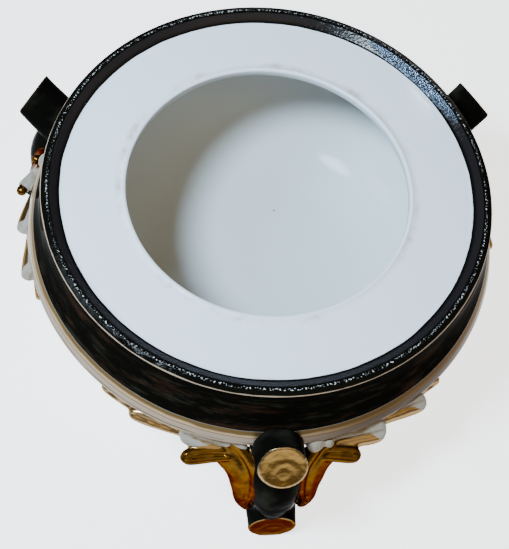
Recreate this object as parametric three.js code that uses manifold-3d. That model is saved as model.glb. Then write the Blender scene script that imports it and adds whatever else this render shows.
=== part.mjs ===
// Porcelain cachepot: a round, hollow bowl with a wide flat ledge round its opening. It stands on
// three rustic branches. Each has a cut stub that points up, a bent leg, and a spray of leaves.
// Millimetres, +Z up. The ground is z = 0 and the origin is the middle of the footprint.
import * as THREE from "three";
import { mergeVertices } from "three/addons/utils/BufferGeometryUtils.js";
import Module from "manifold-3d";

const wasm = await Module();
wasm.setup();

// Bowl
const ledgeHeight = 117;
const ledgeRadius = 105;
const ledgeThickness = 4.5;
const holeRadius = 72.5;
const holeRounding = 1.4;
const beadWidth = 2.2;
const beadRise = 0.5;
const bevelWidth = 6;
const crestRise = 4;
const lipWidth = 3.2;
const lipRise = 2.6;
const wallHeight = 31;
const wallFlare = 7;
const wallHollow = 1.2;
const goldBandHeight = 4;
const goldBandFlare = 2.2;
const whiteBandHeight = 5;
const whiteBandFlare = 1.8;
const bandStepHeight = 2.5;
const bandStep = 3.5;
const baseRadius = 55;
const baseClearance = 13;
const wallThickness = 5;
const floorThickness = 6;

// Branches
const logRadius = 13;
const logFlare = 1.5;
const kneeDrop = 49;
const footReach = 24.5;
const footTilt = 9;
const footLength = 20;
const footFlat = 1.2;
const footSwing = 2;
const stubRadius = 12.4;
const stubTilt = 45;
const stubLength = 34;
const cutRounding = 0.8;

// Each branch's turn about the bowl's axis, and where the middle of its stub's cut face is. The cut
// is aslant: its face looks up by cutTilt, less than the stub itself does. leafSpread says how wide
// the branch's leaves are laid, in shares of their angles.
const branches = [
  { turn: 0, stubReach: 14.9, stubDrop: 24, cutTilt: 37, leafSpread: 1 },
  { turn: 120, stubReach: 19.5, stubDrop: 24.1, cutTilt: 35, leafSpread: 1.08 },
  { turn: 240, stubReach: 16.8, stubDrop: 19.3, cutTilt: 25, leafSpread: 1.16 },
];

// How far out the leg and the calyx bow at four heights below the knee, in shares of the heel's reach.
const legBow = [0.3, 0.75, 0.72, 0.62];
const calyxBow = [0.3, 0.85, 1.05, 1];

// Leaves, and the two lobes beside the knee that turn outwards. Each pair gives the root and then the
// tip. Angles are degrees from the middle of the branch, heights are shares of the belly's height, and
// lifts, which say how far the leaf stands off the belly, are shares of leafLift. A width is a share of
// leafWidth. Lean is how many degrees the leaf's face is turned up from straight out.
const leafWidth = 16;
const leafLift = 14;
const leafThickness = 3.4;
const leafBack = 3;
const leaves = [
  { angles: [8, 26.4], heights: [0.874, 0.9], width: 1, lifts: [0.07, 0.5], lean: 42 },
  { angles: [21, 37.8], heights: [0.92, 0.94], width: 0.75, lifts: [0, 0.43], lean: 38 },
  { angles: [33, 42.5], heights: [0.952, 0.983], width: 0.44, lifts: [0, 0.14], lean: 25 },
  { angles: [-7, -22.5], heights: [0.889, 0.952], width: 0.81, lifts: [0.07, 0.14], lean: 35 },
  { angles: [-18, -35], heights: [0.92, 0.967], width: 0.56, lifts: [0, 0.29], lean: 30 },
  { angles: [-31, -43.7], heights: [0.952, 0.983], width: 0.44, lifts: [0, 0.07], lean: 25 },
];
const lobes = [
  { angles: [6, 16], heights: [0.88, 0.93], width: 0.8, lifts: [0.4, 1.02], lean: 50 },
  { angles: [-7, -18.8], heights: [0.86, 0.93], width: 0.72, lifts: [0.36, 1], lean: 50 },
];
const knobRadius = 2.8;
const knobs = [
  { angle: 12, height: 0.97 },
  { angle: -10.8, height: 0.9 },
  { angle: -34, height: 0.936 },
];
const calyxLeftReach = 13;
const calyxRightReach = 14.5;
const calyxTopWidth = 26;
const calyxTipWidth = 3;
const calyxSwell = 6;
const calyxThickness = 3;

// Facets
const bowlSegments = 54;
const bellySteps = 7;
const logSides = 12;
const leafSteps = 4;
const knobSides = 7;
const knobRings = 4;

const lipRadius = ledgeRadius + bevelWidth + lipWidth;
const bandTopRadius = lipRadius + wallFlare;
const bandTopHeight = ledgeHeight + lipRise - wallHeight;
const bandFootRadius = bandTopRadius + goldBandFlare;
const bandFootHeight = bandTopHeight - goldBandHeight;
const bodyRadius = bandFootRadius + whiteBandFlare;
const widestHeight = bandFootHeight - whiteBandHeight;
const bellyTopRadius = bodyRadius - bandStep;
const bellyTopHeight = widestHeight - bandStepHeight;

const side = new THREE.Vector3(1, 0, 0);
const up = new THREE.Vector3(0, 0, 1);

// A point round the bowl's axis: 0 degrees is the front branch, and angles grow towards +X.
function around(degrees, radius, height) {
  const angle = THREE.MathUtils.degToRad(degrees);
  return new THREE.Vector3(radius * Math.sin(angle), -radius * Math.cos(angle), height);
}

// A closed manifold solid of a closed geometry. Triangles that shrink to a line at a pole go.
function solidOf(geometry) {
  const bare = geometry.clone();
  bare.deleteAttribute("normal");
  bare.deleteAttribute("uv");
  const merged = mergeVertices(bare, 1e-4);
  const corners = merged.index.array;
  const kept = [];
  for (let i = 0; i < corners.length; i += 3) {
    const [a, b, c] = corners.slice(i, i + 3);
    if (a !== b && b !== c && c !== a) {
      kept.push(a, b, c);
    }
  }
  return new wasm.Manifold(new wasm.Mesh({
    numProp: 3,
    vertProperties: new Float32Array(merged.attributes.position.array),
    triVerts: new Uint32Array(kept),
  }));
}

// Turns a profile of [radius, height] pairs round the Z axis. It goes up the outside.
function turned(profile) {
  const points = profile.map(([radius, height]) => new THREE.Vector2(radius, height));
  const lathe = new THREE.LatheGeometry(points, bowlSegments);
  return solidOf(lathe.rotateX(Math.PI / 2));
}

// Joins rings of points into a closed skin. Each ring runs anticlockwise about the way ahead.
function lofted(rings) {
  const count = rings[0].length;
  const faces = [];
  for (let ring = 0; ring < rings.length - 1; ring++) {
    for (let i = 0; i < count; i++) {
      const here = ring * count + i;
      const next = ring * count + (i + 1) % count;
      faces.push(here, next, next + count, here, next + count, here + count);
    }
  }
  const last = (rings.length - 1) * count;
  for (let i = 1; i < count - 1; i++) {
    faces.push(0, i + 1, i, last, last + i, last + i + 1);
  }
  const geometry = new THREE.BufferGeometry();
  const places = rings.flat().flatMap((point) => point.toArray());
  geometry.setAttribute("position", new THREE.Float32BufferAttribute(places, 3));
  geometry.setIndex(faces);
  return solidOf(geometry);
}

// A quarter ellipse of the belly, from under the white band down to the base, set in by an inset.
function bellyProfile(inset, floorHeight) {
  const profile = [];
  for (let step = 0; step <= bellySteps; step++) {
    const angle = (step / bellySteps) * Math.PI / 2;
    const radius = baseRadius + (bellyTopRadius - inset - baseRadius) * Math.cos(angle);
    const height = bellyTopHeight + (floorHeight - bellyTopHeight) * Math.sin(angle);
    profile.push([radius, height]);
  }
  return profile;
}

// A height on the belly from its share: 0 is the base and 1 is the belly's top.
function bellyHeight(share) {
  return THREE.MathUtils.lerp(baseClearance, bellyTopHeight, share);
}

// The belly's outer radius at a height.
function bellyRadius(height) {
  const share = (bellyTopHeight - height) / (bellyTopHeight - baseClearance);
  return baseRadius + (bellyTopRadius - baseRadius) * Math.sqrt(1 - share * share);
}

// The bowl: outside, rough rim, bevel, ledge, opening, and back down the inside to the floor.
function bowl() {
  const insideHeight = ledgeHeight - ledgeThickness;
  return turned([
    [0, baseClearance],
    ...bellyProfile(0, baseClearance).reverse(),
    [bodyRadius, widestHeight],
    [bandFootRadius, bandFootHeight],
    [bandTopRadius, bandTopHeight],
    [lipRadius + wallFlare / 2 - wallHollow, (bandTopHeight + ledgeHeight) / 2],
    [lipRadius, ledgeHeight + lipRise],
    [ledgeRadius + bevelWidth, ledgeHeight + crestRise],
    [ledgeRadius, ledgeHeight],
    [holeRadius + holeRounding + beadWidth, ledgeHeight],
    [holeRadius + holeRounding + beadWidth / 2, ledgeHeight + beadRise],
    [holeRadius + holeRounding, ledgeHeight],
    [holeRadius, ledgeHeight - holeRounding],
    [holeRadius, insideHeight + holeRounding / 2],
    [holeRadius + holeRounding, insideHeight],
    [ledgeRadius, insideHeight],
    [lipRadius + wallFlare / 2 - wallHollow - wallThickness, (bandTopHeight + insideHeight) / 2],
    [bandTopRadius - wallThickness, bandTopHeight],
    ...bellyProfile(wallThickness, baseClearance + floorThickness),
    [0, baseClearance + floorThickness],
  ]);
}

// The space up to the middle of the wall, which trims the roots of what stands on the bowl.
function insideCore() {
  const inset = wallThickness / 2;
  return turned([
    [0, baseClearance + floorThickness / 2],
    ...bellyProfile(inset, baseClearance + floorThickness / 2).reverse(),
    [bandTopRadius - inset, bandTopHeight],
    [lipRadius + wallFlare / 2 - wallHollow - inset, (bandTopHeight + ledgeHeight) / 2],
    [ledgeRadius, ledgeHeight - ledgeThickness / 2],
    [0, ledgeHeight - ledgeThickness / 2],
  ]);
}

// A round log along points in the upright plane of the front branch, with a radius for each.
function log(points, radii) {
  const curve = new THREE.CatmullRomCurve3(points);
  return lofted(radii.map((radius, index) => {
    const share = index / (radii.length - 1);
    const centre = curve.getPoint(share);
    const ahead = curve.getTangent(share);
    const across = ahead.clone().cross(side);
    return Array.from({ length: logSides }, (_, i) => {
      const angle = (i / logSides) * 2 * Math.PI;
      return centre.clone()
        .addScaledVector(side, radius * Math.cos(angle))
        .addScaledVector(across, radius * Math.sin(angle));
    });
  }));
}

// A straight cut log that ends at a face centre. Its axis rises outwards by a tilt in degrees, and
// its end is cut square or aslant, so that the face looks up by cutTilt.
function cutLog(faceCentre, tilt, cutTilt, length, radius) {
  const outwardAt = (degrees) => {
    const rise = THREE.MathUtils.degToRad(degrees);
    return new THREE.Vector3(0, -Math.cos(rise), Math.sin(rise));
  };
  const axis = outwardAt(tilt);
  const aslant = 1 / Math.cos(THREE.MathUtils.degToRad(tilt - cutTilt));
  const stops = [
    { back: length, radius: radius + logFlare, facing: axis, stretch: 1 },
    { back: length / 2, radius, facing: axis, stretch: 1 },
    { back: cutRounding, radius, facing: outwardAt(cutTilt), stretch: aslant },
    { back: 0, radius: radius - cutRounding, facing: outwardAt(cutTilt), stretch: aslant },
  ];
  const rings = stops.map(({ back, radius: reach, facing, stretch }) => {
    const centre = faceCentre.clone().addScaledVector(axis, -back);
    const across = facing.clone().cross(side);
    return Array.from({ length: logSides }, (_, i) => {
      const angle = (i / logSides) * 2 * Math.PI;
      return centre.clone()
        .addScaledVector(side, reach * Math.cos(angle))
        .addScaledVector(across, stretch * reach * Math.sin(angle));
    });
  });
  return lofted(rings);
}

const toeCentre = around(0, bodyRadius + footReach, logRadius - footFlat);
toeCentre.x = footSwing;

// The middle line of a leg that bows by given shares: out of the belly at the knee, then down to the
// heel above the ground. The shares of the knee's height are its pose between the two.
function legPath(bow) {
  const kneeHeight = ledgeHeight - kneeDrop;
  const heelReach = footReach - footLength / 2;
  const path = [
    around(0, bodyRadius - logRadius, kneeHeight + logRadius / 2),
    around(0, bodyRadius + heelReach * bow[0], kneeHeight - logRadius / 2),
    around(0, bodyRadius + heelReach * bow[1], kneeHeight * 0.58),
    around(0, bodyRadius + heelReach * bow[2], kneeHeight * 0.34),
    around(0, bodyRadius + heelReach * bow[3], logRadius * 0.7),
  ];
  path.forEach((point, index) => {
    point.x = footSwing * index / (path.length - 1);
  });
  return path;
}

// A leaf's cross-section, in shares of its half width and thickness: two ridges and a groove.
const leafSection = [[1, 0.2], [0.6, 1], [0.1, 0.55], [-0.45, 0.95], [-1, 0.2]];
const leafBackShare = 0.8;

// A leaf along a curve. outwardAt gives the way its face looks, and widthAt its width there.
function blade(curve, outwardAt, widthAt, thickness) {
  const rings = [];
  for (let step = 0; step <= leafSteps; step++) {
    const share = step / leafSteps;
    const centre = curve.getPoint(share);
    const ahead = curve.getTangent(share);
    const outward = outwardAt(centre, share);
    outward.addScaledVector(ahead, -outward.dot(ahead)).normalize();
    const across = outward.clone().cross(ahead);
    const half = widthAt(share) / 2;
    const front = leafSection.map(([reach, height]) => centre.clone()
      .addScaledVector(across, half * reach)
      .addScaledVector(outward, thickness * height));
    const back = [-leafBackShare, leafBackShare].map((reach) => centre.clone()
      .addScaledVector(across, half * reach)
      .addScaledVector(outward, -leafBack));
    rings.push([...front, ...back]);
  }
  return lofted(rings);
}

// A leaf that leaves the branch sideways, lies along the belly and stands off it at its tip.
function leaf({ angles, heights, width, lifts, lean }, spread) {
  const stations = [0, 0.35, 0.7, 1].map((share) => {
    const height = bellyHeight(THREE.MathUtils.lerp(...heights, share));
    const lift = leafLift * THREE.MathUtils.lerp(...lifts, share * share);
    const angle = spread * THREE.MathUtils.lerp(...angles, share);
    return around(angle, bellyRadius(height) + lift, height);
  });
  const turn = THREE.MathUtils.degToRad(lean);
  const facing = (centre) => new THREE.Vector3(centre.x, centre.y, 0).setLength(Math.cos(turn))
    .addScaledVector(up, Math.sin(turn));
  // It widens along its length and then closes in a round tip.
  const rounded = (share) => width * leafWidth * (0.75 + 0.5 * share) * Math.sqrt(1.08 - share ** 6);
  return blade(new THREE.CatmullRomCurve3(stations), facing, rounded, leafThickness);
}

// One half of the calyx: it spreads from the belly beside the knee and runs down the leg's side.
function calyxHalf(hand, reach) {
  const leg = new THREE.CatmullRomCurve3(legPath(calyxBow));
  const topShare = 0.08;
  const tipShare = 0.76;
  const spreads = [2.1, 1.4, 1.22, 1.22, 0.92];
  const stations = spreads.map((spread, index) => {
    const share = THREE.MathUtils.lerp(topShare, tipShare, index / (spreads.length - 1));
    return leg.getPoint(share).addScaledVector(side, hand * spread * reach);
  });
  const aslant = () => new THREE.Vector3(hand * 0.45, -0.8, 0.4);
  const tapered = (share) => THREE.MathUtils.lerp(calyxTipWidth, calyxTopWidth, (1 - share) ** 2)
    + calyxSwell * Math.sin(Math.PI * share);
  return blade(new THREE.CatmullRomCurve3(stations), aslant, tapered, calyxThickness);
}

function knob({ angle, height }, spread) {
  const level = bellyHeight(height);
  const centre = around(spread * angle, bellyRadius(level) + knobRadius, level);
  const ball = new THREE.SphereGeometry(knobRadius, knobSides, knobRings);
  return solidOf(ball.translate(centre.x, centre.y, centre.z));
}

// The ground cuts the feet flat.
function ground() {
  const size = 4 * bodyRadius;
  return solidOf(new THREE.BoxGeometry(size, size, size).translate(0, 0, -size / 2));
}

function stub({ stubReach, stubDrop, cutTilt }) {
  const faceCentre = around(0, bodyRadius + stubReach, ledgeHeight - stubDrop);
  return cutLog(faceCentre, stubTilt, cutTilt, stubLength, stubRadius);
}

// Everything that stands on the bowl at the front: leg, foot, stub, leaves, calyx and knobs.
function branch(size) {
  const legRadii = [0.95, 1, 1, 0.97, 0.95, 0.97, 1].map((share) => share * logRadius);
  const pieces = [
    cutLog(toeCentre, footTilt, footTilt, footLength, logRadius),
    stub(size),
    ...leaves.map((one) => leaf(one, size.leafSpread)),
    ...lobes.map((one) => leaf(one, 1)),
    calyxHalf(-1, calyxLeftReach),
    calyxHalf(1, calyxRightReach),
    ...knobs.map((one) => knob(one, size.leafSpread)),
  ];
  return pieces.reduce((sum, piece) => sum.add(piece), log(legPath(legBow), legRadii));
}

function cachepot() {
  const trim = insideCore().add(ground());
  const whole = branches.reduce((sum, size) => {
    const front = branch(size).subtract(trim);
    return sum.add(front.rotate([0, 0, size.turn]));
  }, bowl());
  const mesh = whole.getMesh();
  const geometry = new THREE.BufferGeometry();
  geometry.setAttribute("position", new THREE.BufferAttribute(mesh.vertProperties, mesh.numProp));
  geometry.setIndex(new THREE.BufferAttribute(mesh.triVerts, 1));
  geometry.computeVertexNormals();
  return geometry;
}

const porcelain = new THREE.MeshStandardMaterial({ color: 0xe9edf0, roughness: 0.12, metalness: 0 });

const pot = new THREE.Mesh(cachepot(), porcelain);
pot.name = "cachepot";

// The front foot reaches further from the bowl's axis than the back of the bowl does.
pot.geometry.computeBoundingBox();
const extent = pot.geometry.boundingBox;
pot.position.y = -(extent.min.y + extent.max.y) / 2;

const group = new THREE.Group();
group.name = "porcelain_cachepot";
group.add(pot);

export default group;
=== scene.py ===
# Porcelain cachepot on three branch feet, seen from above at the photograph's angle
import math
import bmesh
import bpy
import numpy as np
from mathutils import Matrix, Vector, noise
from mathutils.bvhtree import BVHTree


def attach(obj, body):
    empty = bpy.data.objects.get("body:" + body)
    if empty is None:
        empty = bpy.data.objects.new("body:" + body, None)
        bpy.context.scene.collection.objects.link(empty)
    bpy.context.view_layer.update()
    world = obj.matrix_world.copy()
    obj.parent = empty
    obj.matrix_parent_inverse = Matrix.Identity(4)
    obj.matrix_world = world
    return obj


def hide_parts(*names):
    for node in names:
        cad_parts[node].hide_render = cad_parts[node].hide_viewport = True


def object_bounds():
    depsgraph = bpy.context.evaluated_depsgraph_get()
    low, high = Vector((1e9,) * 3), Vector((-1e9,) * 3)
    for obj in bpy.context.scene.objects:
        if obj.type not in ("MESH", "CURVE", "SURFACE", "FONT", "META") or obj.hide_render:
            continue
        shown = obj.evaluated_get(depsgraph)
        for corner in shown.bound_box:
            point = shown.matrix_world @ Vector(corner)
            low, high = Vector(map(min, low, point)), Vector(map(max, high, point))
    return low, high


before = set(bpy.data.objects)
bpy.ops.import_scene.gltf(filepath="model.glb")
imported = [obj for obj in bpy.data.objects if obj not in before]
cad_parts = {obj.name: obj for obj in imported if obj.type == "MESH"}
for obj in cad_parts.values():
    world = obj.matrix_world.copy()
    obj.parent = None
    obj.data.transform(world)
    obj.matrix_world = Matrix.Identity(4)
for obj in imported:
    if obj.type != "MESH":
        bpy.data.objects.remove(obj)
cadLow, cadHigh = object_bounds()

mm = 0.001

# the bowl, from the ground up; radii are from its own upright axis
pot = dict(
    ledgeHeight=117 * mm, ledgeRadius=105 * mm, ledgeThickness=4.5 * mm,
    holeRadius=72.5 * mm, holeRounding=1.0 * mm, beadWidth=0.9 * mm, beadRise=0.14 * mm,
    bevelWidth=6 * mm, crestRise=4 * mm, lipWidth=3.2 * mm, lipRise=2.6 * mm,
    wallHeight=31 * mm, wallFlare=7 * mm, wallHollow=1.2 * mm,
    goldBand=4 * mm, goldFlare=2.2 * mm, whiteBand=5 * mm, whiteFlare=1.8 * mm,
    bandStepHeight=2.5 * mm, bandStep=3.5 * mm,
    baseRadius=55 * mm, baseClearance=13 * mm, wall=5 * mm, floor=6 * mm,
    turns=540, crestLump=0.22 * mm, crestSpread=2.3 * mm, crestGrain=420, ledgeWave=0.15 * mm, ledgeGrain=22,
)
# how many points each part of its outline gets
rows = dict(base=6, belly=22, band=4, wall=14, crest=6, shoulder=4, bevel=8, ledge=12, bead=9, hole=6,
            under=6, inside=4, floor=5)
lipRadius = pot["ledgeRadius"] + pot["bevelWidth"] + pot["lipWidth"]
bandTopRadius = lipRadius + pot["wallFlare"]
bandTopHeight = pot["ledgeHeight"] + pot["lipRise"] - pot["wallHeight"]
bandFootRadius = bandTopRadius + pot["goldFlare"]
bandFootHeight = bandTopHeight - pot["goldBand"]
bodyRadius = bandFootRadius + pot["whiteFlare"]
widestHeight = bandFootHeight - pot["whiteBand"]
bellyTopRadius = bodyRadius - pot["bandStep"]
bellyTopHeight = widestHeight - pot["bandStepHeight"]

# the back of the bowl is the back of the model, which gives its axis
axisPlace = Vector((0, cadHigh.y - bodyRadius, 0))


# one material's node tree; its sockets read as sums
class Wire:
    def __init__(self, glaze, socket):
        self.glaze = glaze
        self.socket = socket

    def sum(self, operation, *others, turned=False):
        values = [self, *others]
        if turned:
            values.reverse()
        return self.glaze.node("ShaderNodeMath", {"operation": operation}, dict(enumerate(values)))

    def __add__(self, other):
        return self.sum("ADD", other)

    def __radd__(self, other):
        return self.sum("ADD", other, turned=True)

    def __sub__(self, other):
        return self.sum("SUBTRACT", other)

    def __rsub__(self, other):
        return self.sum("SUBTRACT", other, turned=True)

    def __mul__(self, other):
        return self.sum("MULTIPLY", other)

    def __rmul__(self, other):
        return self.sum("MULTIPLY", other, turned=True)

    def __pow__(self, other):
        return self.sum("POWER", other)

    # 0 below low and 1 above high, with a soft step between
    def step(self, low, high):
        return self.glaze.node("ShaderNodeMapRange", {"interpolation_type": "SMOOTHSTEP"},
                               {"Value": self, "From Min": low, "From Max": high})

    # 1 from full to fall, softly down to 0 at start and at end
    def between(self, start, full, fall, end):
        return self.step(start, full) * (1 - self.step(fall, end))

    # 1 where this is within near of a place, softly down to 0 at far
    def beside(self, place, near, far):
        return 1 - (self - place).sum("ABSOLUTE").step(near, far)

    def most(self, other):
        return self.sum("MAXIMUM", other)


class Glaze:
    def __init__(self, name):
        self.material = bpy.data.materials.new(name)
        self.material.use_nodes = True
        self.tree = self.material.node_tree
        self.top = self.tree.nodes["Principled BSDF"].outputs["BSDF"]
        self.place = self.node("ShaderNodeTexCoord", {}, {}, "Object")

    # adds a node: settings first, then what goes into its sockets
    def node(self, kind, settings, sockets, out=0):
        made = self.tree.nodes.new(kind)
        for key, value in settings.items():
            setattr(made, key, value)
        for key, value in sockets.items():
            self.feed(made.inputs[key], value)
        return Wire(self, made.outputs[out])

    def feed(self, socket, value):
        if isinstance(value, Wire):
            self.tree.links.new(value.socket, socket)
        else:
            socket.default_value = value

    def surface(self, sockets):
        for key, value in sockets.items():
            self.feed(self.top.node.inputs[key], value)

    # another surface over what is there, where share is 1
    def over(self, share, sockets):
        under = self.top
        self.top = self.tree.nodes.new("ShaderNodeBsdfPrincipled").outputs["BSDF"]
        self.surface(sockets)
        self.top = self.node("ShaderNodeMixShader", {}, {
            0: share, 1: Wire(self, under), 2: Wire(self, self.top)}).socket
        self.tree.links.new(self.top, self.tree.nodes["Material Output"].inputs["Surface"])

    def blend(self, share, first, second):
        mixer = self.tree.nodes.new("ShaderNodeMix")
        mixer.data_type = "RGBA"
        self.feed(mixer.inputs["Factor"], share)
        self.feed(mixer.inputs[6], first)
        self.feed(mixer.inputs[7], second)
        return Wire(self, mixer.outputs[2])

    def grain(self, scale, detail=2.0, rough=0.5, where=None):
        return self.node("ShaderNodeTexNoise", {}, {
            "Vector": where or self.place, "Scale": scale, "Detail": detail, "Roughness": rough})

    def painted(self, name):
        return self.node("ShaderNodeAttribute", {"attribute_name": name}, {}, "Fac")

    def relief(self, height):
        return self.node("ShaderNodeBump", {}, {"Height": height, "Distance": 1.0}, "Normal")

    def split(self, vector):
        outputs = self.node("ShaderNodeSeparateXYZ", {}, {"Vector": vector}).socket.node.outputs
        return [Wire(self, output) for output in outputs]


# colours, linear
paint = dict(
    white=(0.465, 0.515, 0.60, 1), whiteInside=(0.48, 0.53, 0.565, 1), whiteWarmShaded=(0.20, 0.155, 0.12, 1),
    whiteBandShade=(0.042, 0.026, 0.015, 1), whiteStain=(0.26, 0.19, 0.16, 1), speck=(0.05, 0.04, 0.04, 1),
    black=(0.0018, 0.0018, 0.0014, 1), blackBrown=(0.016, 0.008, 0.005, 1),
    # the bevel colour is a lifted black that serves as a painted reflection
    blackGreen=(0.011, 0.011, 0.008, 1), bevel=(0.007, 0.0062, 0.0072, 1), glintPaint=(0.4, 0.41, 0.43, 1),
    cream=(0.20, 0.15, 0.11, 1), bandOlive=(0.065, 0.042, 0.016, 1), bandPale=(0.25, 0.18, 0.11, 1),
    gold=(0.100, 0.049, 0.009, 1), goldDark=(0.036, 0.018, 0.004, 1), cutGold=(0.19, 0.115, 0.035, 1),
    thinGold=(0.24, 0.165, 0.085, 1), goldPale=(0.27, 0.20, 0.12, 1),
    leafWhiteShaded=(0.19, 0.175, 0.155, 1), leafCream=(0.14, 0.11, 0.07, 1),
)
finish = dict(
    white={"Roughness": 0.09, "Specular IOR Level": 0.035},
    black={"Roughness": 0.06, "Specular IOR Level": 0.0001},
    bark={"Roughness": 0.13, "Specular IOR Level": 0.0006},
    bevel={"Roughness": 0.14, "Specular IOR Level": 0.09},
    coarse={"Roughness": 0.14, "Specular IOR Level": 0.9, "Specular Tint": (0.5, 0.7, 1.0, 1)},
    crest={"Roughness": 0.10, "Specular IOR Level": 0.015},
    band={"Roughness": 0.32, "Metallic": 0.55, "Specular IOR Level": 0.1,
          "Specular Tint": (0.6, 0.5, 0.38, 1)},
    gold={"Roughness": 0.28, "Metallic": 1.0, "Specular Tint": (0.32, 0.22, 0.11, 1)},
)


def around(degrees, radius, height):
    angle = math.radians(degrees)
    return Vector((radius * math.sin(angle), -radius * math.cos(angle), height))


def finishMesh(bm, name):
    mesh = bpy.data.meshes.new(name)
    bm.to_mesh(mesh)
    bm.free()
    piece = bpy.data.objects.new(name, mesh)
    bpy.context.scene.collection.objects.link(piece)
    mesh.polygons.foreach_set("use_smooth", [True] * len(mesh.polygons))
    return piece


def claim(piece):
    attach(piece, "root")
    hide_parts("cachepot")


# a row of points along a straight stretch, leaving out the last one
def stretch(start, end, count):
    return [(start[0] + (end[0] - start[0]) * i / count, start[1] + (end[1] - start[1]) * i / count)
            for i in range(count)]


def bellyArc(inset, floorHeight, count):
    points = []
    for i in range(count + 1):
        angle = math.pi / 2 * i / count
        points.append((pot["baseRadius"] + (bellyTopRadius - inset - pot["baseRadius"]) * math.cos(angle),
                       bellyTopHeight + (floorHeight - bellyTopHeight) * math.sin(angle)))
    return points


def bellyRadiusAt(height):
    share = (bellyTopHeight - height) / (bellyTopHeight - pot["baseClearance"])
    return pot["baseRadius"] + (bellyTopRadius - pot["baseRadius"]) * math.sqrt(max(0, 1 - share * share))


# the bowl's outline, from the middle of its base, up the outside, and down the inside to its floor
def bowlProfile():
    ledge = pot["ledgeHeight"]
    under = ledge - pot["ledgeThickness"]
    lip = (lipRadius, ledge + pot["lipRise"])
    crest = (pot["ledgeRadius"] + pot["bevelWidth"], ledge + pot["crestRise"])
    shoulder = (crest[0] - 1.2 * mm, crest[1] - 0.5 * mm)
    bandTop = (bandTopRadius, bandTopHeight)
    bandFoot = (bandFootRadius, bandFootHeight)
    base = pot["baseClearance"]
    floorHeight = base + pot["floor"]
    hole = pot["holeRadius"]
    rounding = pot["holeRounding"]
    beadOut = hole + rounding + pot["beadWidth"]
    points = stretch((0, base), (pot["baseRadius"], base), rows["base"])
    points += bellyArc(0, base, rows["belly"])[::-1]
    points += [(bodyRadius - 1.2 * mm, bellyTopHeight + 0.8 * mm),
               (bodyRadius - 0.3 * mm, widestHeight - 0.8 * mm)]
    points += stretch((bodyRadius, widestHeight), bandFoot, rows["band"])
    points += stretch(bandFoot, bandTop, rows["band"])
    # the black wall is slightly hollow
    for i in range(rows["wall"]):
        share = i / rows["wall"]
        inward = pot["wallHollow"] * math.sin(math.pi * share)
        points.append((bandTop[0] + (lip[0] - bandTop[0]) * share - inward,
                       bandTop[1] + (lip[1] - bandTop[1]) * share))
    points += [(lip[0] + 0.25 * mm, lip[1] - 0.9 * mm), (lip[0] + 0.3 * mm, lip[1] - 0.3 * mm)]
    # the crest between lip and bevel is a low round, and the bevel dips to the ledge
    points += stretch((lip[0] - 0.1 * mm, lip[1] + 0.25 * mm), (crest[0] + 0.4 * mm, crest[1]), rows["crest"])
    points += stretch((crest[0] + 0.3 * mm, crest[1] + 0.05 * mm), shoulder, rows["shoulder"])
    points += stretch(shoulder, (pot["ledgeRadius"] + 0.8 * mm, ledge + 0.25 * mm), rows["bevel"])
    points += stretch((pot["ledgeRadius"] + 0.3 * mm, ledge + 0.05 * mm), (beadOut + 0.4 * mm, ledge),
                      rows["ledge"])
    # a low bead stands round the opening, whose edge is rounded over
    for i in range(rows["bead"]):
        angle = math.pi * i / rows["bead"]
        points.append((beadOut - pot["beadWidth"] / 2 * (1 - math.cos(angle)),
                       ledge + pot["beadRise"] * math.sin(angle) ** 1.5))
    for i in range(rows["hole"] + 1):
        angle = math.pi / 2 * i / rows["hole"]
        points.append((hole + rounding * (1 - math.sin(angle)), ledge - rounding * (1 - math.cos(angle))))
    points += [(hole, under + rounding * 0.6), (hole + rounding * 0.3, under + rounding * 0.2),
               (hole + rounding, under)]
    # the inside follows the outside a wall's thickness in
    innerTop = (lipRadius + pot["wallFlare"] / 2 - pot["wallHollow"] - pot["wall"],
                (bandTopHeight + under) / 2)
    innerBand = (bandTopRadius - pot["wall"], bandTopHeight)
    innerBelly = bellyArc(pot["wall"], floorHeight, rows["belly"])
    points += stretch((hole + rounding + 1 * mm, under), (pot["ledgeRadius"], under), rows["under"])
    points += stretch((pot["ledgeRadius"], under), innerTop, rows["inside"])
    points += stretch(innerTop, innerBand, rows["inside"])
    points += stretch(innerBand, innerBelly[0], rows["inside"] - 1)
    points += innerBelly
    points += stretch((pot["baseRadius"] * 0.8, floorHeight), (0, floorHeight), rows["floor"])
    points.append((0, floorHeight))
    return points


# the crest is lumpy under its glaze, and the ledge waves a little
def roughen(spot):
    radius = math.hypot(spot.x, spot.y)
    fromCrest = radius - pot["ledgeRadius"] - pot["bevelWidth"] - 0.5 * mm
    onCrest = math.exp(-(fromCrest / pot["crestSpread"]) ** 2)
    if spot.z > pot["ledgeHeight"] + 1 * mm:
        lump = noise.noise(spot * pot["crestGrain"]) + 0.6 * noise.noise(spot * pot["crestGrain"] * 2.1)
        spot.z += pot["crestLump"] * onCrest * lump
    if abs(spot.z - pot["ledgeHeight"]) < 0.3 * mm and radius < pot["ledgeRadius"]:
        spot.z += pot["ledgeWave"] * noise.noise(spot * pot["ledgeGrain"])


# what the modifiers of a rough piece make of it, which is then taken away
def settled(rough):
    bm = bmesh.new()
    bm.from_mesh(rough.evaluated_get(bpy.context.evaluated_depsgraph_get()).to_mesh())
    bpy.data.objects.remove(rough)
    return bm


def makeBowl():
    bm = bmesh.new()
    ring = [bm.verts.new((x, 0, z)) for x, z in bowlProfile()]
    for pair in zip(ring, ring[1:]):
        bm.edges.new(pair)
    rough = finishMesh(bm, "rough")
    wheel = rough.modifiers.new("wheel", "SCREW")
    wheel.steps = wheel.render_steps = pot["turns"]
    wheel.use_merge_vertices = True
    wheel.merge_threshold = 0.01 * mm
    bm = settled(rough)
    bmesh.ops.recalc_face_normals(bm, faces=bm.faces)
    for vert in bm.verts:
        roughen(vert.co)
    bmesh.ops.translate(bm, verts=bm.verts, vec=axisPlace)
    return finishMesh(bm, "bowl")


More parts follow.
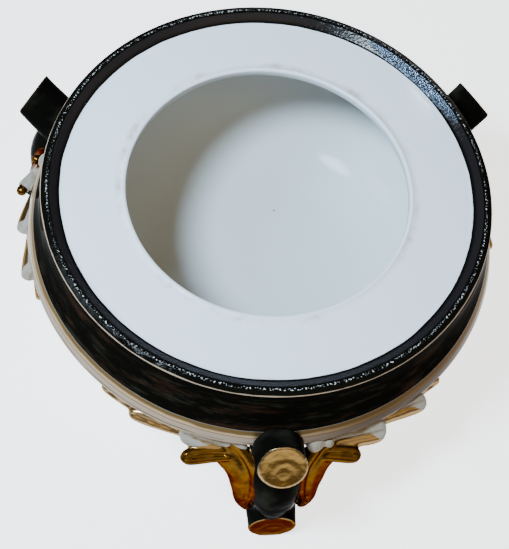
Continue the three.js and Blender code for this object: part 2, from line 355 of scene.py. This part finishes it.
# where the bowl's paints start and stop; a pair is where a soft edge starts and is done
brush = dict(
    waver=0.9 * mm, edge=0.15 * mm, blackEdge=(0.05 * mm, 0.35 * mm), skin=9.5 * mm, skinEdge=0.2 * mm,
    goldEdge=0.3 * mm, goldLine=(1 * mm, 1.2 * mm, 1.6 * mm, 1.8 * mm), worn=(0.32, 0.5),
    lipWidth=0.2 * mm, lipDepth=(0.42 * mm, 0.22 * mm), lipWorn=(0.18, 0.34),
    warmStart=14 * mm, warmFull=3 * mm,
    stainPlace=3.6 * mm, stainEdge=(0.2 * mm, 3 * mm), stainFar=2.6 * mm, dirt=(0.46, 0.70),
    speckEdge=(0.012, 0.022), oliveEdge=(0.9 * mm, 2.3 * mm), goldFoot=0.4 * mm,
    shadeFacing=(0.98, -0.21), shadeEdge=(0, 75 * mm), brownReflectionStreaks=(0.50, 0.72), greenReflectionStreaks=(0.50, 0.70),
    bevelEdges=(0.5 * mm, 1.1 * mm, 4.6 * mm, 5.2 * mm), crestEdges=(4.6 * mm, 5.2 * mm),
    chainPlace=6.3 * mm, chainEdge=(0.35 * mm, 0.75 * mm), glints=(0.56, 0.66), glintGaps=(0.29, 0.46),
    coarseFacing=(0.79, 0.615), coarseEdge=(103.5 * mm, 107.5 * mm), ripple=0.25 * mm,
    hammer=0.15 * mm, coarseHammer=0.75 * mm,
)


# black, gold and white glaze by height and radius on one body
def bowlGlaze():
    glaze = Glaze("bowlGlaze")
    local = glaze.node("ShaderNodeVectorMath", {"operation": "SUBTRACT"}, {0: glaze.place, 1: axisPlace})
    x, y, z = glaze.split(local)
    radius = (x * x + y * y) ** 0.5
    ledge = pot["ledgeHeight"]
    # no painted edge is quite level or round
    waver = (glaze.grain(60, 2) - 0.5) * brush["waver"]
    height = z + waver
    reach = radius + waver
    fromLedge = reach - pot["ledgeRadius"]
    skin = bodyRadius - brush["skin"]
    outerSkin = reach.step(skin, skin + brush["skinEdge"])

    # black from the ledge's outer edge, over the crest and down the wall
    onWallUp = height.step(bandTopHeight - brush["edge"], bandTopHeight + brush["edge"])
    pastLedge = radius.step(pot["ledgeRadius"] - 0.3 * mm, pot["ledgeRadius"] + 0.1 * mm)
    isBlack = pastLedge * onWallUp * fromLedge.step(*brush["blackEdge"])

    # a gold band under the wall, and a thin gilt line in the white band
    goldBand = height.step(bandFootHeight - brush["goldEdge"], bandFootHeight) * (1 - onWallUp)
    goldLine = (height - widestHeight).between(*brush["goldLine"]) * glaze.grain(50, 3).step(*brush["worn"])
    isGold = goldBand.most(goldLine) * outerSkin

    # the lip carries a hair-thin cream line, worn through in places
    lipTop = ledge + pot["lipRise"]
    lipStart, lipFull = brush["lipDepth"]
    lipLine = reach.step(lipRadius - brush["lipWidth"], lipRadius)
    lipLine = lipLine * z.step(lipTop - lipStart, lipTop - lipFull)
    lipLine = lipLine * glaze.grain(70, 3).step(*brush["lipWorn"])

    # the white band is painted a warmer white than the ledge and much darker, that darkness a painted shade,
    # and darker again towards the right as more painted shade
    warm = height.between(widestHeight - brush["warmStart"], widestHeight - brush["warmFull"],
                          bandFootHeight, bandTopHeight) * outerSkin
    shadeX, shadeY = brush["shadeFacing"]
    shadedRight = (x * shadeX + y * shadeY).step(*brush["shadeEdge"])
    bandWhite = glaze.blend(shadedRight, paint["whiteWarmShaded"], paint["whiteBandShade"])
    white = glaze.blend(warm, paint["white"], bandWhite)
    inside = 1 - reach.step(bodyRadius - 9 * mm, bodyRadius - 8.8 * mm)
    inside = inside * (1 - z.step(ledge - 4 * mm, ledge - 2 * mm))
    white = glaze.blend(inside, white, paint["whiteInside"])

    # faint dirt lies beside the opening's bead and along the ledge's outer edge
    stainNear = reach.beside(pot["holeRadius"] + brush["stainPlace"], *brush["stainEdge"])
    stainFar = fromLedge.step(-brush["stainFar"], 0)
    dirt = glaze.grain(34, 6, 0.7).step(*brush["dirt"])
    stain = (stainNear * dirt * 0.8).most(stainFar * dirt * 0.30) * z.step(ledge - 3 * mm, ledge - 1 * mm)
    white = glaze.blend(stain, white, paint["whiteStain"])
    cells = glaze.node("ShaderNodeTexVoronoi", {}, {"Vector": glaze.place, "Scale": 26, "Randomness": 1.0},
                       "Distance")
    white = glaze.blend((1 - cells.step(*brush["speckEdge"])) * 0.8, white, paint["speck"])

    # the gold band is olive at its top and worn pale towards its foot, with a dark edge under it
    uneven = height - bandFootHeight + (glaze.grain(40, 3) - 0.5) * 3 * mm
    band = glaze.blend(uneven.step(*brush["oliveEdge"]), paint["bandPale"], paint["bandOlive"])
    # painted shade: the gold band too is darkened towards the right
    band = glaze.blend(shadedRight * 0.9, band, paint["goldDark"])
    aboveFoot = height.step(bandFootHeight, bandFootHeight + brush["goldFoot"])
    band = glaze.blend(aboveFoot, paint["goldDark"], band)

    # painted reflections: dim brown and green-grey streaks run round the black wall
    streaks = glaze.node("ShaderNodeCombineXYZ", {}, {
        "X": y.sum("ARCTAN2", x) * 2.2, "Y": z * 75, "Z": radius * 10})
    onWall = 1 - height.step(ledge - 4 * mm, ledge)
    brownReflection = glaze.grain(1.7, 5, 0.65, streaks).step(*brush["brownReflectionStreaks"]) * onWall
    greenReflection = glaze.grain(2.9, 5, 0.7, streaks).step(*brush["greenReflectionStreaks"]) * onWall
    black = glaze.blend(brownReflection, paint["black"], paint["blackBrown"])
    black = glaze.blend(greenReflection * 0.8, black, paint["blackGreen"])

    # the bevel's glaze is hammered, and coarser and shinier on the far right
    ripple = glaze.grain(30, 1) * brush["ripple"]
    smooth = glaze.relief(ripple)
    onBevel = fromLedge.between(*brush["bevelEdges"]) * z.step(ledge, ledge + 0.3 * mm)
    coarseX, coarseY = brush["coarseFacing"]
    farRight = x * coarseX + y * coarseY + (glaze.grain(90, 3) - 0.5) * 6 * mm
    isCoarse = farRight.step(*brush["coarseEdge"])
    depth = isCoarse * brush["coarseHammer"] + brush["hammer"]
    hammered = glaze.relief(glaze.grain(700, 2, 0.6) * depth + ripple)
    # the bevel is painted a lifted dark grey, a painted reflection on its black glaze, staying black near the
    # ledge's edge
    bevel = glaze.blend(fromLedge.step(0.8 * mm, 2.6 * mm), paint["black"], paint["bevel"])

    # a chain of painted glints, painted highlights in the base colour, stands just outside the crest's top
    onCrest = fromLedge.step(*brush["crestEdges"]) * z.step(ledge + 1 * mm, ledge + 2 * mm)
    onCrest = onCrest * (1 - reach.step(lipRadius - 0.8 * mm, lipRadius - 0.2 * mm))
    chain = fromLedge.beside(brush["chainPlace"], *brush["chainEdge"]) * onCrest
    paintedGlints = glaze.grain(1100, 2, 0.6).step(*brush["glints"]) * chain
    paintedGlints = paintedGlints * glaze.grain(45, 3).step(*brush["glintGaps"])
    crest = glaze.blend(paintedGlints, paint["black"], paint["glintPaint"])

    glaze.surface({"Base Color": white, "Normal": smooth, **finish["white"]})
    glaze.over(isBlack, {"Base Color": black, "Normal": smooth, **finish["black"]})
    glaze.over(onBevel, {"Base Color": bevel, "Normal": hammered, **finish["bevel"]})
    glaze.over(onBevel * isCoarse, {"Base Color": bevel, "Normal": hammered, **finish["coarse"]})
    glaze.over(onCrest, {"Base Color": crest, "Normal": hammered, **finish["crest"]})
    glaze.over(isGold, {"Base Color": band, "Normal": smooth, **finish["band"]})
    glaze.over(lipLine, {"Base Color": paint["cream"], "Normal": smooth, **finish["white"]})
    return glaze.material


# lights and camera stand round the bowl's ledge, which the camera looks at
view = dict(distance=510.7 * mm, elevation=57.84, azimuth=-12.42, roll=10.336, pan=0.00155, tilt=-0.09049,
            focalPixels=1000, imageHeight=549, sensor=36)


def makeCamera():
    turn = Matrix.Rotation(math.radians(view["azimuth"]), 3, "Z")
    rise = math.radians(view["elevation"])
    back = turn @ Vector((0, -math.cos(rise), math.sin(rise)))
    right = turn @ Vector((1, 0, 0))
    up = back.cross(right)
    ahead = (-back + view["pan"] * right + view["tilt"] * up).normalized()
    right = ahead.cross(up).normalized()
    up = right.cross(ahead)
    roll = math.radians(view["roll"])
    right, up = right * math.cos(roll) + up * math.sin(roll), up * math.cos(roll) - right * math.sin(roll)
    camera = bpy.data.cameras.new("camera")
    camera.sensor_width = view["sensor"]
    camera.lens = view["focalPixels"] / view["imageHeight"] * view["sensor"]
    camera.clip_start = 0.01
    holder = bpy.data.objects.new("camera", camera)
    bpy.context.scene.collection.objects.link(holder)
    place = Matrix((right, up, -ahead)).transposed().to_4x4()
    place.translation = axisPlace + Vector((0, 0, pot["ledgeHeight"])) + back * view["distance"]
    holder.matrix_world = place
    bpy.context.scene.camera = holder
    return turn


# places are from the middle of the ledge: to the camera's right, away from the camera, and up
studio = dict(
    lamps=dict(
        key=dict(place=(-0.262, -0.204, 0.593), size=0.16, power=14.5, colour=(0.68, 0.86, 1.0)),
        side=dict(place=(-0.57, -0.15, 0.535), size=0.24, power=6, colour=(0.68, 0.87, 1.0)),
        warm=dict(place=(0.60, 0.15, 0.85), size=1.2, power=3.2, colour=(1.0, 0.72, 0.34)),
        warmFront=dict(place=(0.30, -0.70, 0.75), size=1.0, power=4.6, colour=(1.0, 0.74, 0.36)),
        window=dict(place=(0.21, 0.70, 0.77), size=0.04, power=1.0, colour=(0.8, 0.9, 1.0)),
    ),
    skyStrength=0.13, skyColour=(1.0, 0.85, 0.50, 1), floorColour=(0.5, 0.5, 0.5, 1), floorGlow=2.2,
)


def makeLamp(name, turn, place, size, power, colour):
    lamp = bpy.data.lights.new(name, "AREA")
    lamp.shape = "DISK"
    lamp.size = size
    lamp.energy = power
    lamp.color = colour
    holder = bpy.data.objects.new(name, lamp)
    bpy.context.scene.collection.objects.link(holder)
    spot = turn @ Vector(place)
    holder.location = axisPlace + Vector((0, 0, pot["ledgeHeight"])) + spot
    holder.rotation_mode = "QUATERNION"
    holder.rotation_quaternion = spot.to_track_quat("Z", "Y")


def makeStudio(turn):
    for name, lamp in studio["lamps"].items():
        makeLamp(name, turn, **lamp)
    world = bpy.data.worlds.new("softRoom")
    world.use_nodes = True
    world.node_tree.nodes["Background"].inputs["Color"].default_value = studio["skyColour"]
    world.node_tree.nodes["Background"].inputs["Strength"].default_value = studio["skyStrength"]
    bpy.context.scene.world = world
    bm = bmesh.new()
    bmesh.ops.create_grid(bm, x_segments=1, y_segments=1, size=4)
    floor = finishMesh(bm, "floor")
    paper = Glaze("floorPaper")
    paper.surface({"Base Color": studio["floorColour"], "Roughness": 0.9, "Specular IOR Level": 0.1,
                   "Emission Color": (1, 1, 1, 1), "Emission Strength": studio["floorGlow"]})
    floor.data.materials.append(paper.material)


turn = makeCamera()
makeStudio(turn)
print("camera and studio stand")

bowl = makeBowl()
bowl.data.materials.append(bowlGlaze())
claim(bowl)
print("bowl:", len(bowl.data.polygons), "faces")


# three branches: a stub cut off above, a leg down to a cut foot, and sprays of leaves beside them
log = dict(
    radius=13 * mm, flare=1.5 * mm, lump=0.55 * mm, flute=0.22 * mm, rounding=0.9 * mm,
    legRadii=(0.95, 1.0, 1.0, 0.97, 0.95, 0.97, 1.0),
    kneeHeight=68 * mm, footReach=24.5 * mm, footTilt=9, footLength=20 * mm, footFlat=1.2 * mm,
    footSwing=2 * mm,
    stubRadius=12.4 * mm, stubTilt=45, stubLength=34 * mm,
    ringPitch=5.2 * mm, ringDepth=0.1 * mm, rimRise=0.25 * mm, swirl=(0.8 * mm, -4.4 * mm),
    barkGrain=70, fluteGrain=25, ringWander=0.9 * mm, faceDip=0.35 * mm, wobble=0.035, rings=90, sides=96,
)
# each branch's turn about the bowl, its stub's cut face, how wide its leaves are laid,
# and where its right lobe ends
branches = dict(
    branchFront=dict(turn=0, stubReach=14.9 * mm, stubDrop=24 * mm, cutTilt=37, spread=1, lobeEnd=19,
                     darkLobe=False),
    branchRight=dict(turn=120, stubReach=19.5 * mm, stubDrop=24.1 * mm, cutTilt=35, spread=1.08, lobeEnd=16,
                     darkLobe=False),
    branchLeft=dict(turn=-120, stubReach=16.8 * mm, stubDrop=19.3 * mm, cutTilt=25, spread=1.16, lobeEnd=17.5,
                    darkLobe=True),
)


def smoothPath(points):
    def at(share):
        spot = min(max(share, 0), 1) * (len(points) - 1)
        i = min(int(spot), len(points) - 2)
        t = spot - i
        before = points[i - 1] if i else points[0] * 2 - points[1]
        after = points[i + 2] if i + 2 < len(points) else points[-1] * 2 - points[-2]
        here, there = points[i], points[i + 1]
        return (here * 2 + (there - before) * t + (before * 2 - here * 5 + there * 4 - after) * t ** 2
                + (here * 3 - before - there * 3 + after) * t ** 3) / 2
    return at


def headingOf(path, share):
    return (path(min(share + 0.01, 1)) - path(max(share - 0.01, 0))).normalized()


def mix(a, b, share):
    return a + (b - a) * share


def fromTable(values, share):
    spot = min(max(share, 0), 1) * (len(values) - 1)
    i = min(int(spot), len(values) - 2)
    return mix(values[i], values[i + 1], spot - i)


def paintLayers(bm):
    layers = bm.verts.layers
    for name in ("gold", "black", "thin"):
        layers.float.new(name)
    layers.float_vector.new("cut")
    return layers.float["gold"], layers.float["black"], layers.float_vector["cut"]


# a skin whose ends are the poles of a ball; shapeAt turns (share along, angle round) into a place and paints
def addSkin(bm, rings, sides, shapeAt):
    ball = bmesh.new()
    gold, black, cut = paintLayers(ball)
    bmesh.ops.create_uvsphere(ball, u_segments=sides, v_segments=rings, radius=1)
    for vert in ball.verts:
        along = math.acos(max(-1, min(1, -vert.co.z))) / math.pi
        spot, goldness, blackness, cutSpot = shapeAt(along, math.atan2(vert.co.y, vert.co.x))
        vert.co = spot
        vert[gold] = goldness
        vert[black] = blackness
        vert[cut] = cutSpot
    mesh = bpy.data.meshes.new("ball")
    ball.to_mesh(mesh)
    ball.free()
    bm.from_mesh(mesh)
    bpy.data.meshes.remove(mesh)


# bark: soft lumps, and flutes that run along the log
def bark(spot, angle):
    lumps = noise.noise(spot * log["barkGrain"]) * log["lump"]
    flutes = math.sin(5 * angle + 6 * noise.noise(spot * log["fluteGrain"])) * log["flute"]
    return lumps + flutes


def legPath(bow=(0.3, 0.75, 0.72, 0.62)):
    heel = log["footReach"] - log["footLength"] / 2
    knee = log["kneeHeight"]
    points = [
        around(0, bodyRadius - log["radius"], knee + log["radius"] / 2),
        around(0, bodyRadius + heel * bow[0], knee - log["radius"] / 2),
        around(0, bodyRadius + heel * bow[1], knee * 0.58),
        around(0, bodyRadius + heel * bow[2], knee * 0.34),
        around(0, bodyRadius + heel * bow[3], log["radius"] * 0.7),
    ]
    for i, point in enumerate(points):
        point.x = log["footSwing"] * i / (len(points) - 1)
    return smoothPath(points)


def addLeg(bm):
    path = legPath()

    def shapeAt(along, angle):
        ahead = headingOf(path, along)
        across = ahead.cross(Vector((1, 0, 0)))
        radius = fromTable(log["legRadii"], along) * log["radius"]
        radius *= math.sqrt(min(1, 12 * along)) * math.sqrt(min(1, 12 * (1 - along)))
        centre = path(along)
        ray = Vector((1, 0, 0)) * math.cos(angle) + across * math.sin(angle)
        spot = centre + ray * radius
        return spot + ray * bark(spot, angle), -1, 1, (0, 0, 0)
    addSkin(bm, log["rings"], log["sides"], shapeAt)


def outwardAt(degrees):
    rise = math.radians(degrees)
    return Vector((0, -math.cos(rise), math.sin(rise)))


# how far along a cut log's skin its hidden end, its side and its rounded edge reach; the cut is the rest
logParts = dict(end=0.08, side=0.62, edge=0.68, paintFrom=0.655, paintRise=40)


# a straight log, cut square or aslant; its end face is carved with rings round an off-centre swirl
def addCutLog(bm, face, tilt, cutTilt, length, radius, seed):
    outward = outwardAt(tilt)
    facing = outwardAt(cutTilt)
    side = Vector((1, 0, 0))
    upward = outward.cross(side)
    slant = math.tan(math.radians(tilt - cutTilt))
    rounding = log["rounding"]
    end, sideEnd, edgeEnd = logParts["end"], logParts["side"], logParts["edge"]

    def shapeAt(along, angle):
        onRing = Vector((math.cos(angle) * 1.3, math.sin(angle) * 1.3, seed))
        if along < end:
            reach, back = (radius + log["flare"]) * along / end, length
        elif along < sideEnd:
            share = (along - end) / (sideEnd - end)
            reach, back = radius + log["flare"] * (1 - share) ** 2, mix(length, rounding, share)
        elif along < edgeEnd:
            turn = (along - sideEnd) / (edgeEnd - sideEnd) * math.pi / 2
            reach, back = radius - rounding * (1 - math.cos(turn)), rounding * (1 - math.sin(turn))
        else:
            reach, back = (radius - rounding) * (1 - along) / (1 - edgeEnd), 0
        reach *= 1 + log["wobble"] * noise.noise(onRing)
        across = upward + outward * slant * min(1, along / sideEnd) ** 2
        ray = side * math.cos(angle) + across * math.sin(angle)
        spot = face - outward * back + ray * reach
        flat = Vector((reach * math.cos(angle), reach * math.sin(angle), 0))
        if along < sideEnd:
            return spot + ray * bark(spot, angle), -min(1, back / (2 * mm)), 1, (0, 0, 0)
        fromSwirl = (flat - Vector((*log["swirl"], 0))).length
        fromSwirl += log["ringWander"] * noise.noise(flat * 160 + Vector((0, 0, seed)))
        inner = 1 - min(1, reach / (radius * 0.86)) ** 6
        dip = log["ringDepth"] * math.sin(fromSwirl / log["ringPitch"] * 2 * math.pi) * inner
        rim = log["rimRise"] * (1 - inner) - log["faceDip"] * inner
        goldness = min(1, (along - logParts["paintFrom"]) * logParts["paintRise"])
        return spot + facing * (dip + rim), goldness, 1, (flat.x / radius, flat.y / radius, 1)
    addSkin(bm, log["rings"] + 20, log["sides"], shapeAt)


# leaves run sideways from their branch; heights are shares of the belly's height; angles from the branch
blade = dict(thickness=3.4 * mm, back=3 * mm, grooveDepth=0.62, grooveWidth=0.17, lump=0.3 * mm, lumpGrain=90,
             rings=56, sides=48)
leaves = [
    dict(angles=(11, 26.4), heights=(0.885, 0.91), width=15 * mm, lifts=(1 * mm, 6.5 * mm), lean=42,
         groove=(-0.25, -0.1), gold="underside", taper=0.0),
    dict(angles=(24, 37.8), heights=(0.925, 0.945), width=12 * mm, lifts=(0, 6 * mm), lean=38,
         groove=(0.2, 0.05), gold="underside", taper=0.0),
    dict(angles=(36, 43.5), heights=(0.955, 0.983), width=7 * mm, lifts=(0, 2 * mm), lean=25,
         groove=(0.0, 0.0), gold="all", taper=0.3),
    dict(angles=(-7, -22.5), heights=(0.889, 0.952), width=13 * mm, lifts=(1 * mm, 2 * mm), lean=35,
         groove=(-0.5, 0.1), gold="groove", taper=0.0),
    dict(angles=(-18, -35), heights=(0.92, 0.967), width=9 * mm, lifts=(0, 4 * mm), lean=30,
         groove=(0.0, 0.2), gold="all", taper=0.1),
    dict(angles=(-31, -43.7), heights=(0.952, 0.983), width=7 * mm, lifts=(0, 1 * mm), lean=25,
         groove=(0.1, 0.2), gold="all", taper=0.3),
]
lobes = [
    dict(angles=(-7, -20.6), heights=(0.82, 0.85), width=8.6 * mm, lifts=(5 * mm, 14 * mm), lean=50,
         groove=(0.1, 0.1), gold="all", taper=0.0),
    dict(heights=(0.83, 0.82), width=9.2 * mm, lifts=(5.6 * mm, 14 * mm), lean=50,
         groove=(0.2, 0.2), gold="all", taper=0.0),
]


# on the left branch the right lobe is dark underneath, white above, and carries two gilt knobs
lobeDark = dict(below=66 * mm, knobs=[
    dict(angle=9.5, share=0.9, lift=10 * mm, radius=2.6 * mm, gold=1),
    dict(angle=17.8, share=0.84, lift=13 * mm, radius=3 * mm, gold=1),
])


def leafGold(kind, along, high, groove):
    if kind == "all":
        return 1
    if kind == "underside":
        return (mix(0.05, -0.05, along) - high) - 4 * max(0, along - 0.72)
    inGroove = 0.10 - abs(high - groove) - 2 * max(0, 0.28 - along)
    below = groove - high - 2.5 * max(0, along - 0.45)
    return max(inGroove, below)


def addBlade(bm, path, facingAt, widthAt, thickness, groovesAt, goldAt, hand):
    def shapeAt(along, angle):
        centre = path(along)
        ahead = headingOf(path, along)
        facing = facingAt(centre)
        facing = (facing - ahead * facing.dot(ahead)).normalized()
        across = facing.cross(ahead) * hand
        ends = math.sqrt(max(0, 1 - max(0, (along - 0.9) / 0.1) ** 2)) * math.sqrt(min(1, along / 0.06))
        high = math.cos(angle)
        reach = widthAt(along) / 2 * ends * high
        groove = groovesAt(along)
        if math.sin(angle) > 0:
            ridge = (1 - high ** 4) ** 0.5
            dip = math.exp(-((high - groove) / blade["grooveWidth"]) ** 2) * min(1, 4 * along)
            rise = thickness * (ridge - blade["grooveDepth"] * dip) * ends
        else:
            rise = -blade["back"] * math.sqrt(1 - high * high) * ends
        spot = centre + across * reach + facing * rise
        spot += facing * blade["lump"] * noise.noise(spot * blade["lumpGrain"])
        return spot, goldAt(along, high, groove), -1, (0, 0, 0)
    addSkin(bm, blade["rings"], blade["sides"], shapeAt)


def addLeaf(bm, spread, angles, heights, width, lifts, lean, groove, gold, taper):
    stations = []
    for share in (0, 0.35, 0.7, 1):
        height = mix(pot["baseClearance"], bellyTopHeight, mix(*heights, share))
        lift = mix(*lifts, share * share)
        stations.append(around(spread * mix(*angles, share), bellyRadiusAt(height) + lift, height))
    tilt = math.radians(lean)

    def facingAt(centre):
        level = Vector((centre.x, centre.y, 0)).normalized()
        return level * math.cos(tilt) + Vector((0, 0, 1)) * math.sin(tilt)

    def widthAt(share):
        return width * (0.75 + 0.5 * share) * math.sqrt(1.08 - share ** 6) * (1 - taper * share)
    hand = 1 if angles[1] > angles[0] else -1
    addBlade(bm, smoothPath(stations), facingAt, widthAt, blade["thickness"],
             lambda along: mix(*groove, along),
             lambda along, high, line: leafGold(gold, along, high, line), hand)


# the two halves of the calyx run down the leg's sides, curled at their outer edges
calyx = dict(reaches={-1: 13 * mm, 1: 14.5 * mm}, top=26 * mm, tip=3 * mm, swell=6 * mm, thickness=3.2 * mm,
             bow=(0.3, 0.85, 1.05, 1.0), spreads=(2.1, 1.4, 1.22, 1.22, 0.92), goldBelow=75.2 * mm)


def addCalyxHalf(bm, hand):
    leg = legPath(calyx["bow"])
    stations = []
    for i, spread in enumerate(calyx["spreads"]):
        share = mix(0.08, 0.76, i / (len(calyx["spreads"]) - 1))
        stations.append(leg(share) + Vector((hand * spread * calyx["reaches"][hand], 0, 0)))

    def widthAt(share):
        return mix(calyx["tip"], calyx["top"], (1 - share) ** 2) + calyx["swell"] * math.sin(math.pi * share)
    path = smoothPath(stations)
    before = len(bm.verts)
    addBlade(bm, path, lambda centre: Vector((hand * 0.45, -0.8, 0.4)), widthAt, calyx["thickness"],
             lambda along: -0.4, lambda along, high, line: 1, hand)
    gold = bm.verts.layers.float["gold"]
    bm.verts.ensure_lookup_table()
    for vert in bm.verts[before:]:
        vert[gold] = (calyx["goldBelow"] - vert.co.z) / (2 * mm)


knobs = [
    dict(angle=12, share=0.97, lift=4 * mm, radius=2.7 * mm, gold=-0.2),
    dict(angle=-10.8, share=0.9, lift=2.4 * mm, radius=2.9 * mm, gold=1),
    dict(angle=-34, share=0.936, lift=2.2 * mm, radius=2.8 * mm, gold=1),
    dict(angle=8.9, share=0.965, lift=2 * mm, radius=5 * mm, gold=-1),
]


def addKnob(bm, spread, angle, share, lift, radius, gold):
    height = mix(pot["baseClearance"], bellyTopHeight, share)
    centre = around(spread * angle, bellyRadiusAt(height) + lift, height)

    def shapeAt(along, turn):
        ring = math.sin(math.pi * along) * radius
        rise = -math.cos(math.pi * along) * radius
        return centre + Vector((math.cos(turn) * ring, math.sin(turn) * ring, rise)), gold, -1, (0, 0, 0)
    addSkin(bm, 20, 24, shapeAt)


# the radius half way through the bowl's wall, where everything that stands on it ends
def midWallRadius(height):
    inset = pot["wall"] / 2
    if height > bandTopHeight:
        share = min(1, (height - bandTopHeight) / (pot["ledgeHeight"] - bandTopHeight))
        return mix(bandTopRadius, lipRadius, share) - pot["wallHollow"] * math.sin(math.pi * share) - inset
    if height > bellyTopHeight:
        return bandTopRadius - inset
    return max(bellyRadiusAt(height) - inset, 0)


branch = dict(skin=0.75 * mm, softening=2, uneven=0.5 * mm, unevenGrain=18, evenRounds=2, evening=0.6)


def repaint(bm, before, **paints):
    bm.verts.ensure_lookup_table()
    for layer, value in paints.items():
        layer = bm.verts.layers.float[layer]
        for vert in bm.verts[before:]:
            vert[layer] = value


def makeBranch(name, turn, stubReach, stubDrop, cutTilt, spread, lobeEnd, darkLobe):
    bm = bmesh.new()
    paintLayers(bm)
    addLeg(bm)
    toe = around(0, bodyRadius + log["footReach"], log["radius"] - log["footFlat"])
    toe.x = log["footSwing"]
    addCutLog(bm, toe, log["footTilt"], log["footTilt"], log["footLength"], log["radius"], 4.0)
    stub = around(0, bodyRadius + stubReach, pot["ledgeHeight"] - stubDrop)
    addCutLog(bm, stub, log["stubTilt"], cutTilt, log["stubLength"], log["stubRadius"], 1.0)
    before = len(bm.verts)
    for one in leaves:
        addLeaf(bm, spread, **one)
    repaint(bm, before, thin=1)
    left, right = lobes
    addLeaf(bm, 1, **left)
    before = len(bm.verts)
    addLeaf(bm, 1, angles=(6, lobeEnd), **right)
    if darkLobe:
        repaint(bm, before, gold=-1)
        for vert in bm.verts[before:]:
            vert[bm.verts.layers.float["black"]] = 1 if vert.co.z < lobeDark["below"] else -1
        for one in lobeDark["knobs"]:
            addKnob(bm, 1, **one)
    addCalyxHalf(bm, -1)
    addCalyxHalf(bm, 1)
    for one in knobs:
        addKnob(bm, spread, **one)
    for vert in bm.verts:
        radius = math.hypot(vert.co.x, vert.co.y)
        least = midWallRadius(vert.co.z)
        if radius < least:
            vert.co.x *= least / radius
            vert.co.y *= least / radius
        vert.co.z = max(vert.co.z, 0)
    bmesh.ops.recalc_face_normals(bm, faces=bm.faces)
    source = bm.copy()
    tree = BVHTree.FromBMesh(source)
    rough = finishMesh(bm, "rough")
    skin = rough.modifiers.new("skin", "REMESH")
    skin.mode = "VOXEL"
    skin.voxel_size = branch["skin"]
    soften = rough.modifiers.new("soften", "SMOOTH")
    soften.iterations = branch["softening"]
    bm = settled(rough)
    carryPaint(source, tree, bm)
    source.free()
    bmesh.ops.rotate(bm, verts=bm.verts, cent=(0, 0, 0), matrix=Matrix.Rotation(math.radians(turn), 3, "Z"))
    # no two branches have quite the same lumps
    for vert in bm.verts:
        uneven = branch["uneven"] * min(1, vert.co.z / (20 * mm))
        vert.co += noise.noise_vector(vert.co * branch["unevenGrain"]) * uneven
    bmesh.ops.translate(bm, verts=bm.verts, vec=axisPlace)
    return finishMesh(bm, name)


# paints come from the nearest place on the separate skins, then even out a little
def carryPaint(source, tree, bm):
    source.faces.ensure_lookup_table()
    fromLayers = [source.verts.layers.float[layer] for layer in ("gold", "black", "thin")]
    fromCut = source.verts.layers.float_vector["cut"]
    gold, black, cut = paintLayers(bm)
    thin = bm.verts.layers.float["thin"]
    paints = np.zeros((len(bm.verts), 3))
    for i, vert in enumerate(bm.verts):
        place, _, face, _ = tree.find_nearest(vert.co)
        corners = source.faces[face].verts
        weights = [1 / ((corner.co - place).length + 0.01 * mm) for corner in corners]
        total = sum(weights)
        paints[i] = [sum(w * corner[layer] for w, corner in zip(weights, corners)) / total
                     for layer in fromLayers]
        vert[cut] = sum((corner[fromCut] * w for w, corner in zip(weights, corners)), Vector()) / total
    bm.verts.index_update()
    pairs = np.array([[vert.index for vert in edge.verts] for edge in bm.edges])
    neighbours = np.bincount(pairs.ravel(), minlength=len(paints))[:, None]
    for _ in range(branch["evenRounds"]):
        evened = np.zeros_like(paints)
        np.add.at(evened, pairs[:, 0], paints[pairs[:, 1]])
        np.add.at(evened, pairs[:, 1], paints[pairs[:, 0]])
        paints = mix(paints, evened / neighbours, branch["evening"])
    for vert, values in zip(bm.verts, paints.tolist()):
        vert[gold], vert[black], vert[thin] = values


def branchGlaze():
    glaze = Glaze("branchGlaze")
    gold = glaze.painted("gold")
    black = glaze.painted("black")
    cut = glaze.node("ShaderNodeAttribute", {"attribute_name": "cut"}, {}, "Vector")
    across, upward, isCut = glaze.split(cut)
    edgeNoise = (glaze.grain(260, 3) - 0.5) * 0.25
    isBlack = (black + edgeNoise * 0.4).step(-0.06, 0.06)
    isGold = (gold + edgeNoise).step(-0.04, 0.04)
    isBlack = isBlack * (1 - isGold)
    reach = (across * across + upward * upward) ** 0.5
    rim = isCut * (reach + (glaze.grain(300, 3) - 0.5) * 0.14).step(0.84, 0.93)
    patchy = glaze.grain(170, 4, 0.6)
    gilt = glaze.blend(patchy.step(0.3, 0.8) * 0.8, paint["gold"], paint["goldDark"])
    height = glaze.split(glaze.place)[2]
    gilt = glaze.blend(isCut * (1 - patchy.step(0.35, 0.9) * 0.45), gilt, paint["cutGold"])
    # painted shade: the gilding is darkened towards the bottom, most at the feet
    gilt = glaze.blend(height.step(16 * mm, 42 * mm) * 0.75 + 0.25, paint["goldDark"], gilt)
    gilt = glaze.blend(rim * (0.25 + height.step(30 * mm, 60 * mm) * 0.45), gilt, paint["goldPale"])
    gilt = glaze.blend(glaze.painted("thin").step(0.4, 0.6) * 0.9, gilt, paint["thinGold"])
    # the leaves' white is the bowl's white glaze painted much darker and warmer, the darkness a painted
    # shade, mixed with cream patches
    white = glaze.blend(glaze.grain(120, 3).step(0.42, 0.7), paint["leafWhiteShaded"], paint["leafCream"])
    dark = glaze.blend(glaze.grain(60, 3).step(0.45, 0.8), paint["black"], paint["blackGreen"])
    normal = glaze.relief(glaze.grain(220, 3) * 0.35 * mm)
    glaze.surface({"Base Color": white, "Normal": normal, **finish["white"]})
    glaze.over(isBlack, {"Base Color": dark, "Normal": normal, **finish["bark"]})
    glaze.over(isGold, {"Base Color": gilt, "Normal": normal, **finish["gold"]})
    return glaze.material


branchPaint = branchGlaze()
noise.seed_set(7)  # the branches' uneven lumps are the same each time
for name, sizes in branches.items():
    piece = makeBranch(name, **sizes)
    piece.data.materials.append(branchPaint)
    claim(piece)
    print(piece.name, len(piece.data.polygons), "faces")
